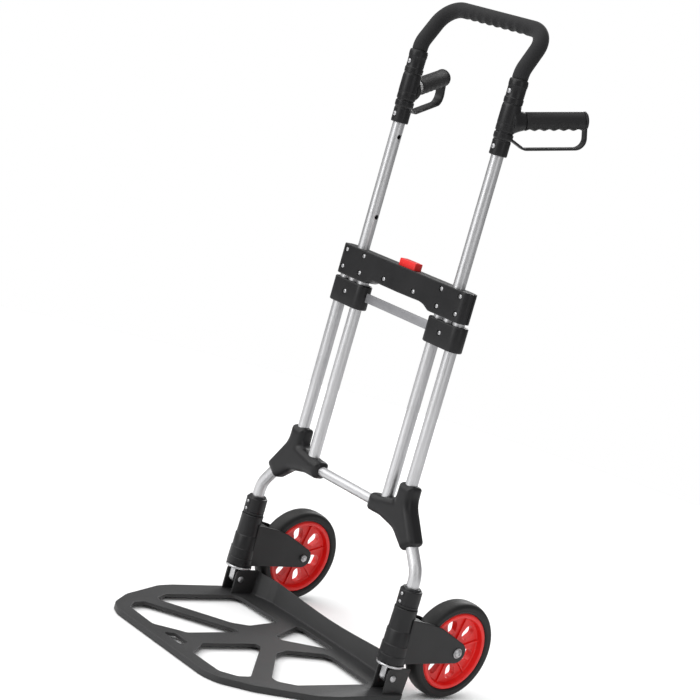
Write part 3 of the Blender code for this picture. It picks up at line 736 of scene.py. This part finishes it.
def release_button():
    outline = fillet([(-0.021, -0.009), (0.021, -0.009), (0.021, 0.009), (-0.021, 0.009)], 0.0018)
    cap = prism("button_cap", outline, 0.6985, 0.7185)
    bevel(cap, 0.0014, 3, 60.0)
    grooves = [box("groove", (x - 0.0005, -0.0070, 0.7179), (x + 0.0005, 0.0070, 0.7300))
               for x in (-0.0140, -0.0105, -0.0070, -0.0035, 0.0, 0.0035, 0.0070, 0.0105, 0.0140)]
    carve(cap, remove=grooves)
    place(cap, "release_button", "red_button", ["release_button"])


def strap():
    bar = box("strap_bar", (-0.090, -0.0015, 0.618), (0.090, 0.0015, 0.6345))
    bevel(bar, 0.0005)
    place(bar, "frame", "grey_strap", ["brace_strap"])


# ---- fasteners ----
def screw_pattern():
    """A pan-head screw with a cross recess; its seat lies at z = 0 and its head at -z."""
    head = lathe("pattern", [(0.0, 0.0016), (0.0019, 0.0012), (0.0019, 0.0), (0.0040, 0.0),
                             (0.0042, -0.0004), (0.0041, -0.0010), (0.0035, -0.0018),
                             (0.0025, -0.0024), (0.0, -0.0026)], steps=32)
    slots = [box("slot", (-0.0025, -0.00045, -0.0040), (0.0025, 0.00045, -0.0013)),
             box("slot", (-0.00045, -0.0025, -0.0040), (0.00045, 0.0025, -0.0013))]
    return carve(head, remove=slots)


def screw(pattern, name, spot, body, node=None, turn=0.0, size=1.0):
    item = add(name, pattern.data.copy())
    facing = Vector((0.0, 1.0, 0.0)).to_track_quat("Z", "Y").to_matrix().to_4x4()
    turned = Matrix.Rotation(math.radians(turn), 4, "Z") @ Matrix.Scale(size, 4)
    item.data.transform(Matrix.Translation(spot) @ facing @ turned)
    place(item, body, "bright_steel", [node] if node else [])


def fasteners():
    pattern = screw_pattern()
    for number in range(1, 11):
        node = "crossbar_screw_%02d" % number
        spot = middle(node)
        screw(pattern, "crossbar_head_%02d" % number, (spot.x, -0.0138, spot.z), "frame", node,
              37.0 * number)
    for side, name in SIDES:
        screw(pattern, "clamp_head_" + name, (side * HANDLE_X, -0.0138, 0.625), "frame",
              "clamp_screw_" + name, 21.0 + 30.0 * side)
        screw(pattern, "collar_head_" + name, (side * HANDLE_X, -0.0160, 1.048), "handle",
              "collar_screw_" + name, 12.0 * side)
        screw(pattern, "sleeve_head_" + name, (side * HANDLE_X, -0.0157, 0.9530),
              "side_grip_" + name, None, 50.0 * side)
        for z in (0.190, 0.1760):
            screw(pattern, "column_head_%s_%d" % (name, round(z * 1000)),
                  (side * COLUMN_X, -0.0198, z), "frame", None, 900.0 * z, 0.7)
    bpy.data.objects.remove(pattern, do_unlink=True)


def hex_outline(flat):
    return arc_points((0.0, 0.0), flat / math.cos(math.radians(30.0)), 0.0, 300.0, 5)


def nut(node, body, low, high, turn):
    name = "nut_" + node.replace("_nut", "")
    item = prism(name, hex_outline(HEX_HALF), low, high, turn)
    bevel(item, 0.0005, 2, 40.0)
    place(item, body, "bright_steel", [node])


def pivots(side, name):
    turn = along_x(side * COLUMN_X, 0.0, PIVOT_Z)
    bolt = lathe("bolt_pivot_" + name, [(0.0, -0.0215), (0.0034, -0.0215), (0.0040, -0.0209),
                 (0.0040, 0.0162), (0.0062, 0.0162), (0.0062, 0.0172), (0.0056, 0.0183),
                 (0.0044, 0.0191), (0.0026, 0.0196), (0.0, 0.0198)], turn, 48)
    place(bolt, "frame", "bright_steel", ["pivot_bolt_" + name])
    nut("pivot_nut_" + name, "frame", -0.0205, -0.0163, turn)


def axles(side, name):
    turn = along_x(side * COLUMN_X, AXLE_Y, AXLE_Z, side)
    bolt = lathe("bolt_axle_" + name, [(0.0, -0.0290), (0.0034, -0.0290), (0.0040, -0.0284),
                 (0.0040, 0.0230), (0.0092, 0.0230), (0.0092, 0.0238), (0.0076, 0.0241),
                 (0.0074, 0.0256), (0.0060, 0.0274), (0.0036, 0.0284), (0.0, 0.0286)], turn, 48)
    socket = prism("socket", hex_outline(0.0021), 0.0268, 0.0400, turn)
    carve(bolt, remove=[socket])
    place(bolt, "wheel_bracket_" + name, "bright_steel", ["axle_bolt_" + name])
    nut("axle_nut_" + name, "wheel_bracket_" + name, -0.0269, -0.0230, turn)


# ---- columns and wheels ----
def column(side, name):
    spot = at(side * COLUMN_X)
    bore = TUBE_R + FIT
    collar = lathe("moulding_collar_" + name, [
        (bore, 0.1660), (0.0188, 0.1660), (0.0195, 0.1667), (0.0195, 0.1700), (0.0186, 0.1708),
        (0.0186, 0.1716), (0.0196, 0.1724), (0.0196, 0.1960), (0.0188, 0.1972),
        (0.0168, 0.1980), (0.0164, 0.2000), (0.0156, 0.2010), (bore, 0.2010)], spot, 72)
    x = side * COLUMN_X
    carve(collar, add=[box("rib", (x - 0.0042, -0.0198, 0.1705), (x + 0.0042, -0.0150, 0.1950))])
    place(collar, "frame", "black_plastic", ["column_collar_" + name])
    washer = lathe("washer_" + name, [(bore, 0.0608), (0.0236, 0.0606), (0.0244, 0.0612),
                   (0.0246, 0.0620), (0.0246, 0.0636), (0.0240, 0.0646), (0.0232, 0.0648),
                   (bore, 0.0646)], spot, 72)
    place(washer, "frame", "grey_zinc", ["washer_ring_" + name])
    low = arc_points((0.0, PIVOT_Z), 0.0105, 180.0, 360.0, 20)
    tongue = prism("lug_" + name, low + [(0.0105, 0.0604), (-0.0105, 0.0604)], -0.0064, 0.0064,
                   upright_along_x(side * COLUMN_X))
    bevel(tongue, 0.0007)
    carve(tongue, remove=[rod("hole", 0.0042, -0.020, 0.020,
                              along_x(side * COLUMN_X, 0.0, PIVOT_Z))])
    place(tongue, "frame", "grey_zinc", ["hinge_lug_" + name])


def wheel_bracket(side, name):
    body = "wheel_bracket_" + name
    bore = TUBE_R + SLIDE
    x = side * COLUMN_X
    sleeve = lathe("moulding_sleeve_" + name, [
        (bore, 0.0660), (0.0234, 0.0660), (0.0243, 0.0668), (0.0245, 0.0680), (0.0243, 0.0800),
        (0.0236, 0.0808), (0.0236, 0.0816), (0.0242, 0.0824), (0.0238, 0.0990),
        (0.0228, 0.1000), (0.0226, 0.1010), (0.0224, 0.1240), (0.0218, 0.1252),
        (0.0212, 0.1260), (0.0208, 0.1400), (0.0204, 0.1600), (0.0206, 0.1612),
        (0.0206, 0.1640), (0.0198, 0.1652), (bore, 0.1652)], at(x), 80)
    place(sleeve, body, "black_plastic", [body])
    nose = arc_points((AXLE_Y, AXLE_Z), 0.0195, -88.0, 62.0, 16)
    outline = [(0.004, 0.0690), (0.050, 0.0695)] + nose + [
        (0.1000, 0.1260), (0.0800, 0.1350), (0.0600, 0.1410), (0.0400, 0.1450), (0.004, 0.1500)]
    parts = [prism("part", outline, low, high, upright_along_x(x))
             for low, high in ((-0.0228, -0.0195), (0.0195, 0.0228))]
    parts.append(box("part", (x - 0.0225, 0.0120, 0.0700), (x + 0.0225, 0.0320, 0.1455)))
    fork = melt(merge("moulding_fork_" + name, parts), 0.0011, 6)
    pads = [rod("pad", 0.0115, 0.0215, 0.02295, along_x(x, AXLE_Y, AXLE_Z)),
            rod("pad", 0.0115, -0.02295, -0.0215, along_x(x, AXLE_Y, AXLE_Z))]
    holes = [rod("hole", BOLT_HOLE_R, -0.040, 0.040, along_x(x, AXLE_Y, AXLE_Z)),
             rod("hole", bore, 0.050, 0.170, at(x))]
    carve(fork, add=pads, remove=holes)
    place(fork, body, "black_plastic")


def wheel(side, name):
    body = "wheel_" + name
    turn = along_x(side * COLUMN_X, AXLE_Y, AXLE_Z)
    half = [(0.0713, 0.0148), (0.0720, 0.0160), (0.0734, 0.0168), (0.0746, 0.0173),
            (0.0752, 0.0176), (0.0764, 0.0176), (0.0770, 0.0174), (0.0796, 0.0178),
            (0.0817, 0.0177), (0.0838, 0.0171), (0.0858, 0.0158), (0.0874, 0.0136),
            (0.0885, 0.0105), (0.0891, 0.0068), (0.0894, 0.0030)]
    tyre = lathe("tyre_skin_" + name, half + flipped(half), turn, 128)
    place(tyre, body, "tyre_rubber", ["tyre_" + name])
    bore = 0.0083
    face = [(0.0590, 0.0060), (0.0606, 0.0070), (0.0620, 0.0120), (0.0632, 0.0158),
            (0.0650, 0.0166), (0.0680, 0.0168), (0.0695, 0.0162), (0.0700, 0.0150),
            (0.0710, 0.0146)]
    boss = [(bore, 0.0183), (0.0138, 0.0183), (0.0148, 0.0176), (0.0158, 0.0130),
            (0.0170, 0.0080), (0.0190, 0.0060)]
    hub = lathe("hub_skin_" + name, boss + face + flipped(boss + face), turn, 96)
    ribs = []
    holes = []
    for number in range(6):
        mid = turn @ Matrix.Rotation(math.radians(60.0 * number + HUB_TURN), 4, "Z")
        ring = [(0.0560, -0.0120), (0.0560, 0.0120), (0.0290, 0.0086), (0.0290, -0.0086)]
        window = fillet(ring, 0.0088, 8)
        holes.append(prism("hole", window, -0.030, 0.030, mid))
        rib_turn = turn @ Matrix.Rotation(math.radians(60.0 * number + HUB_TURN - 30.0), 4, "Z")
        rib = [(0.0150, -0.0012), (0.0625, -0.0012), (0.0625, 0.0012), (0.0150, 0.0012)]
        ribs.append(prism("rib", rib, -0.0090, 0.0090, rib_turn))
    carve(hub, add=ribs, remove=holes)
    place(hub, body, "red_hub", ["wheel_hub_" + name], 28.0)


# ---- toe plate ----
REAR_RADII = [0.0, 0.010, 0.030, 0.030, 0.060, 0.0]


def plate_rear_edge():
    return [(0.2155, 0.0400), (0.1980, 0.0430), (0.1780, 0.0520), (0.1600, 0.0560),
            (0.1000, 0.0590), (0.0, 0.0600)]


def plate_corners():
    """Corner points of the whole outline, and how far each is rounded."""
    right = [(0.128, -0.324), (0.158, -0.312), (0.196, -0.262), (0.241, -0.160),
             (0.246, -0.125), (0.246, 0.026), (0.240, 0.034), (0.2155, 0.034)]
    radii = [0.060, 0.045, 0.080, 0.060, 0.060, 0.003, 0.003, 0.0]
    right += plate_rear_edge()
    radii += REAR_RADII
    return right + mirrored(right), radii + radii[-2::-1]


def plate_windows():
    big = fillet([(0.055, -0.084), (0.068, -0.116), (0.166, -0.203), (0.180, -0.203),
                  (0.197, -0.172), (0.198, -0.014), (0.188, -0.004), (0.084, 0.001),
                  (0.072, -0.006)], 0.014, 4)
    front = fillet([(0.023, -0.248), (0.026, -0.130), (0.037, -0.128), (0.160, -0.244),
                    (0.157, -0.270), (0.135, -0.293), (0.061, -0.295), (0.032, -0.257)], 0.011, 4)
    tip = fillet([(-0.025, -0.297), (0.025, -0.297), (0.019, -0.275), (-0.019, -0.275)], 0.004, 3)
    rear = fillet([(-0.042, 0.034), (-0.051, 0.025), (-0.009, -0.058), (0.009, -0.058),
                   (0.051, 0.025), (0.042, 0.034)], 0.006, 3)
    return [big, mirrored(big), front, mirrored(front), tip, rear]


def toe_plate():
    corners, radii = plate_corners()
    plate = prism("plate_sheet", fillet(corners, radii), 0.0, PLATE_TOP)
    bevel(plate, 0.0018, 3, 60.0)
    inner = fillet(shrink(corners, 0.0030), [max(0.0, radius - 0.0030) for radius in radii])
    pocket = prism("pocket", inner, -0.010, 0.0088)
    walls = [prism("lip", shrink(window, -0.0026), 0.0058, 0.020) for window in plate_windows()]
    carve(pocket, remove=walls)
    windows = [prism("window", window, -0.020, 0.030) for window in plate_windows()]
    carve(plate, remove=[pocket] + windows)
    bevel(plate, 0.0009, 2, 60.0)
    place(plate, "toe_plate", "plate_coating", ["toe_plate"], 22.0)


def plate_wall():
    """The wall along the rear edge, lowest in the middle, with a rounded foot."""
    edge = plate_rear_edge()
    path = fillet([(0.230, 0.0400)] + edge + mirrored(edge) + [(-0.230, 0.0400), (0.0, -0.5)],
                  [0.0] + REAR_RADII + REAR_RADII[-2::-1] + [0.0, 0.0], 5)
    line = [Vector((x, y, 0.0)) for x, y in path if y > 0.0 and abs(x) < 0.2156]
    line = spaced(line, 0.004)
    builder = bmesh.new()
    rings = []
    for point, across, other in ring_frames(line, UP):
        reach = abs(point.x) / 0.2155
        top = 0.0440 + 0.0138 * reach ** 1.6
        inward = Vector((other.x, other.y, 0.0)).normalized()
        inward = -inward if inward.y > 0.0 else inward
        ring = []
        for depth, height in ((0.0, 0.0108), (0.0, top - 0.0010), (0.0005, top - 0.0002),
                              (0.0014, top), (0.0023, top - 0.0003), (0.0028, top - 0.0012),
                              (0.0044, 0.0165), (0.0060, 0.0130), (0.0092, 0.0118),
                              (0.0092, 0.0108)):
            ring.append(builder.verts.new(point + inward * depth + Vector((0.0, 0.0, height))))
        rings.append(ring)
    place(capped("plate_wall", builder, rings), "toe_plate", "plate_coating", sharp=40.0)


def plate_ears():
    """The four ears that the pivot bolts run through."""
    for side, name in SIDES:
        corners = [(-0.0125, 0.0105), (-0.0125, 0.0585), (0.0380, 0.0582), (0.0340, 0.0105)]
        outline = fillet(corners, [0.0, 0.0080, 0.0040, 0.0], 8)
        for label, low, high in (("inner", -0.0160, -0.0128), ("outer", 0.0128, 0.0160)):
            ear = prism("plate_ear_%s_%s" % (label, name), outline, low * side,
                        high * side, upright_along_x(side * COLUMN_X))
            bevel(ear, 0.0008, 2, 60.0)
            carve(ear, remove=[rod("hole", BOLT_HOLE_R, -0.030, 0.030,
                                   along_x(side * COLUMN_X, 0.0, PIVOT_Z), 32)])
            place(ear, "toe_plate", "plate_coating")


# ---- handle ----
def handle_path(low, steps):
    back = Vector((-LOOP_INWARD, LOOP_BACK, 0.0))
    right = [Vector((HANDLE_X, 0.0, low)), Vector((HANDLE_X, 0.0, COLLAR_TOP + 0.014)),
             Vector((HANDLE_X, 0.0, LOOP_TOP)) + back]
    left = [Vector((-spot.x, spot.y, spot.z)) for spot in reversed(right)]
    return round_corners(right + left, (0.040, 0.040, 0.040, 0.040), steps)


def handle():
    side = Vector((0.0, 1.0, 0.0))
    tube = swept("tube_handle", handle_path(0.613, 14), side, TUBE_R, TUBE_BORE)
    holes = []
    for mark in (-1, 1):
        for height in (0.699, 0.767, 0.914):
            start, end = sorted((mark * (HANDLE_X - 0.014), mark * (HANDLE_X - 0.004)))
            holes.append(rod("hole", BOLT_HOLE_R, start, end, along_x(0.0, 0.0, height), 32))
    carve(tube, remove=holes)
    place(tube, "handle", "tube_aluminium", ["handle_tube"])

    loop = spaced(handle_path(COLLAR_TOP + 0.0001, 16), 0.0016)
    count = len(loop)

    def skin(index, angle, direction):
        spot = loop[index]
        end = min(index, count - 1 - index)
        size = 0.0138 - 0.0006 * max(0.0, 1.0 - end / 2.0) ** 2
        across = max(0.0, 1.0 - (abs(spot.x) / 0.084) ** 8) if spot.z > LOOP_TOP - 0.004 else 0.0
        under = max(0.0, 0.25 - direction.z - 0.3 * direction.y) ** 1.2
        wave = 0.5 - 0.5 * math.cos(spot.x * 2.0 * math.pi / 0.0195)
        return size - 0.0020 * across * min(1.0, under) * wave ** 0.7

    grip = swept("foam_sleeve", loop, side, skin, TUBE_R + FIT, steps=56)
    place(grip, "handle", "soft_black", ["foam_grip"], look="foam_black")


def handle_collar(side, name):
    low = SLEEVE_TOP + 0.0002
    bore = TUBE_R + FIT
    collar = lathe("moulding_handle_collar_" + name, [
        (bore, low), (0.0158, low), (0.0166, low + 0.0010), (0.0168, low + 0.0090),
        (0.0160, low + 0.0102), (0.0158, low + 0.0110), (0.0159, low + 0.0290),
        (0.0164, low + 0.0300), (0.0166, low + 0.0316), (0.0166, COLLAR_TOP - 0.0040),
        (0.0160, COLLAR_TOP - 0.0012), (0.0150, COLLAR_TOP), (bore, COLLAR_TOP)],
        at(side * HANDLE_X), 72)
    place(collar, "handle", "black_plastic", ["handle_collar_" + name])


class GripAxes:
    """Where one side grip starts, and which way it runs, spreads and hangs."""

    def __init__(self, side, name):
        self.name = name
        self.body = "side_grip_" + self.name
        self.tube = at(side * HANDLE_X)
        out = math.radians(GRIP_OUT)
        rise = math.radians(GRIP_RISE)
        flat = Vector((side * math.sin(out), math.cos(out), 0.0))
        self.root = Vector((side * HANDLE_X, 0.0, GRIP_ROOT_Z))
        self.run = flat * math.cos(rise) + Vector((0.0, 0.0, math.sin(rise)))
        self.lateral = flat.cross(UP)
        below = self.run.cross(self.lateral)
        self.below = -below if below.z > 0.0 else below

    def spot(self, ahead, drop=0.0):
        return self.root + self.run * ahead + self.below * drop

    def turned(self, label, profile):
        """A round piece along the grip, from (reach, radius) pairs."""
        path = [self.spot(reach) for reach, radius in profile]
        return swept(label, path, self.lateral, lambda index, angle, way: profile[index][1],
                     steps=56)


def grip_sleeve(axes):
    bore = TUBE_R + SLIDE
    low = SLEEVE_LOW
    sleeve = lathe("moulding_grip_sleeve_" + axes.name, [
        (bore, low), (0.0146, low), (0.0155, low + 0.0010), (0.0157, low + 0.0020),
        (0.0156, 0.9560), (0.0158, 0.9640), (0.0150, 0.9650), (0.0150, 0.9665), (0.0162, 0.9680),
        (0.0168, 0.9700), (0.0168, 0.9770), (0.0160, 0.9780), (0.0152, 0.9784), (0.0152, 0.9800),
        (0.0162, 0.9806), (0.0168, 0.9820), (0.0168, 0.9900), (0.0160, 0.9912),
        (0.0158, 0.9920), (0.0168, 0.9934), (0.0170, 0.9950), (0.0168, 1.0220),
        (0.0162, 1.0268), (0.0154, SLEEVE_TOP), (bore, SLEEVE_TOP)], axes.tube, 72)
    place(sleeve, axes.body, "black_plastic", ["grip_arm_" + axes.name])


def grip_tee(axes):
    """The flared neck that joins the grip to its sleeve."""
    neck = axes.turned("neck", [(0.004, 0.0155), (0.016, 0.0155), (0.0302, 0.0154)])
    hub = lathe("hub", [(0.0, 0.9815), (0.0168, 0.9815), (0.0168, 1.0215), (0.0, 1.0215)],
                axes.tube, 48)
    flare = axes.turned("flare", [(0.006, 0.0225), (0.014, 0.0196), (0.022, 0.0172),
                                  (0.0296, 0.0158)])
    tee = melt(merge("moulding_grip_tee_" + axes.name, [neck, hub, flare]), 0.0011, 34)
    carve(tee, remove=[rod("room", TUBE_R + SLIDE, 0.900, 1.060, axes.tube)])
    place(tee, axes.body, "black_plastic")


def grip_cap(axes):
    end = GRIP_LENGTH
    cap = axes.turned("moulding_grip_cap_" + axes.name, [
        (0.0280, 0.0080), (end - 0.0052, 0.0080), (end - 0.0051, 0.0150), (end - 0.0042, 0.0160),
        (end - 0.0018, 0.0160), (end - 0.0006, 0.0150), (end, 0.0136)])
    place(cap, axes.body, "black_plastic")


def grip_guard(axes):
    marks = ((0.1388, 0.0040), (0.1392, 0.0470), (0.0300, 0.0470), (0.0060, 0.0300))
    corners = [axes.spot(ahead, drop) for ahead, drop in marks]

    def band(index, angle, way):
        a, b = math.cos(angle), math.sin(angle)
        wide = 0.0090 * math.copysign(abs(a) ** 0.35, a)
        thick = 0.0022 * math.copysign(abs(b) ** 0.55, b)
        return wide, thick

    guard = swept("moulding_guard_" + axes.name, round_corners(corners, (0.018, 0.014), 12),
                  axes.lateral, band, steps=32)
    place(guard, axes.body, "black_plastic", sharp=50.0)


def grip_rubber(axes):
    """The soft sleeve, with six finger waves along its lower side."""
    path = spaced([axes.spot(RUBBER_START), axes.spot(GRIP_LENGTH - 0.0053)], 0.0011)
    count = len(path) - 1

    def skin(index, angle, direction):
        along = index / count
        edge = min(index, count - index)
        size = 0.0155 - 0.0010 * max(0.0, 1.0 - edge / 2.0) ** 2
        under = max(0.0, direction.dot(axes.below)) ** 1.1
        wave = 0.5 - 0.5 * math.cos(along * 2.0 * math.pi * 6.0)
        return size + under * (0.0010 - 0.0026 * wave ** 0.8)

    rubber = swept("soft_sleeve_" + axes.name, path, axes.lateral, skin, 0.0082, steps=56)
    place(rubber, axes.body, "soft_black", ["grip_rubber_" + axes.name])


def side_grip(side, name):
    axes = GripAxes(side, name)
    for piece in (grip_sleeve, grip_tee, grip_cap, grip_guard, grip_rubber):
        piece(axes)


def inner_parts():
    """Parts that stay as the solids they are, with their own finish."""
    for node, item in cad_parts.items():
        look = {"lock_pin": "bright_steel", "wheel_bush": "grey_bush"}.get(node.rsplit("_", 1)[0])
        if look:
            for slot in item.material_slots:
                slot.material = LOOKS[look]


# ---- studio ----
def camera():
    azimuth, elevation, roll = (math.radians(angle) for angle in VIEW_ANGLES)
    back = Vector((math.sin(azimuth) * math.cos(elevation),
                   -math.cos(azimuth) * math.cos(elevation), math.sin(elevation)))
    right = Vector((math.cos(azimuth), math.sin(azimuth), 0.0))
    up = back.cross(right)
    across = right * math.cos(roll) + up * math.sin(roll)
    rise = up * math.cos(roll) - right * math.sin(roll)
    spot = Vector(VIEW_AIM) + back * VIEW_DISTANCE
    lens = bpy.data.cameras.new("camera")
    lens.lens = VIEW_LENS
    lens.sensor_width = 36.0
    eye = add("camera", lens)
    eye.matrix_world = Matrix(((across.x, rise.x, back.x, spot.x),
                               (across.y, rise.y, back.y, spot.y),
                               (across.z, rise.z, back.z, spot.z), (0.0, 0.0, 0.0, 1.0)))
    bpy.context.scene.camera = eye


def light(name, spot, aim, size, power):
    lamp = bpy.data.lights.new(name, "AREA")
    lamp.shape = "RECTANGLE"
    lamp.size, lamp.size_y = size
    lamp.energy = power
    item = add(name, lamp)
    item.location = spot
    item.rotation_euler = (Vector(aim) - Vector(spot)).to_track_quat("-Z", "Y").to_euler()


def backdrop():
    """A white surround: bright where it is seen, dimmer where it only lights the part."""
    world = bpy.data.worlds.new("studio")
    bpy.context.scene.world = world
    world.use_nodes = True
    tree = world.node_tree
    seen = tree.nodes["Background"]
    glow = tree.nodes.new("ShaderNodeBackground")
    for white, strength in ((seen, 1.0), (glow, 0.34)):
        white.inputs["Color"].default_value = (1.0, 1.0, 1.0, 1.0)
        white.inputs["Strength"].default_value = strength
    ray = tree.nodes.new("ShaderNodeLightPath")
    mix = tree.nodes.new("ShaderNodeMixShader")
    tree.links.new(ray.outputs["Is Camera Ray"], mix.inputs["Fac"])
    tree.links.new(glow.outputs["Background"], mix.inputs[1])
    tree.links.new(seen.outputs["Background"], mix.inputs[2])
    tree.links.new(mix.outputs["Shader"], tree.nodes["World Output"].inputs["Surface"])


def sun(name, aim, power, spread):
    lamp = bpy.data.lights.new(name, "SUN")
    lamp.energy = power
    lamp.angle = math.radians(spread)
    add(name, lamp).rotation_euler = Vector(aim).to_track_quat("-Z", "Y").to_euler()


def studio():
    bpy.context.scene.view_settings.view_transform = "Standard"
    backdrop()
    sun("sun", (0.35, 0.55, -1.0), 2.7, 95.0)
    light("key", (-0.6, -3.2, 1.6), (0.0, 0.0, 0.6), (1.3, 2.6), 40.0)
    light("fill", (3.4, -0.4, 1.6), (0.0, 0.0, 0.6), (0.6, 2.4), 14.0)
    light("rim", (-1.6, 2.8, 2.0), (0.0, 0.0, 0.6), (1.0, 2.0), 40.0)
    mesh = bpy.data.meshes.new("floor")
    rim = arc_points((0.0, 0.0), 2.6, 0.0, 357.0, 119)
    mesh.from_pydata([(x, y, 0.0) for x, y in rim], [], [list(range(len(rim)))])
    floor = add("floor", mesh)
    floor.location.z = -0.0005
    paint = bpy.data.materials.new("floor")
    paint.use_nodes = True
    skin = paint.node_tree.nodes["Principled BSDF"]
    skin.inputs["Base Color"].default_value = (0.94, 0.94, 0.94, 1.0)
    skin.inputs["Roughness"].default_value = 0.80
    mesh.materials.append(paint)


def build():
    for piece in (cross_tube, crossbar, release_button, strap, toe_plate, plate_wall, plate_ears,
                  handle):
        piece()
    for side, name in SIDES:
        for piece in (frame_tubes, y_joint, clamp_block, column, pivots, wheel_bracket, wheel,
                      axles, handle_collar, side_grip):
            piece(side, name)
    fasteners()
    inner_parts()


build()
camera()
studio()
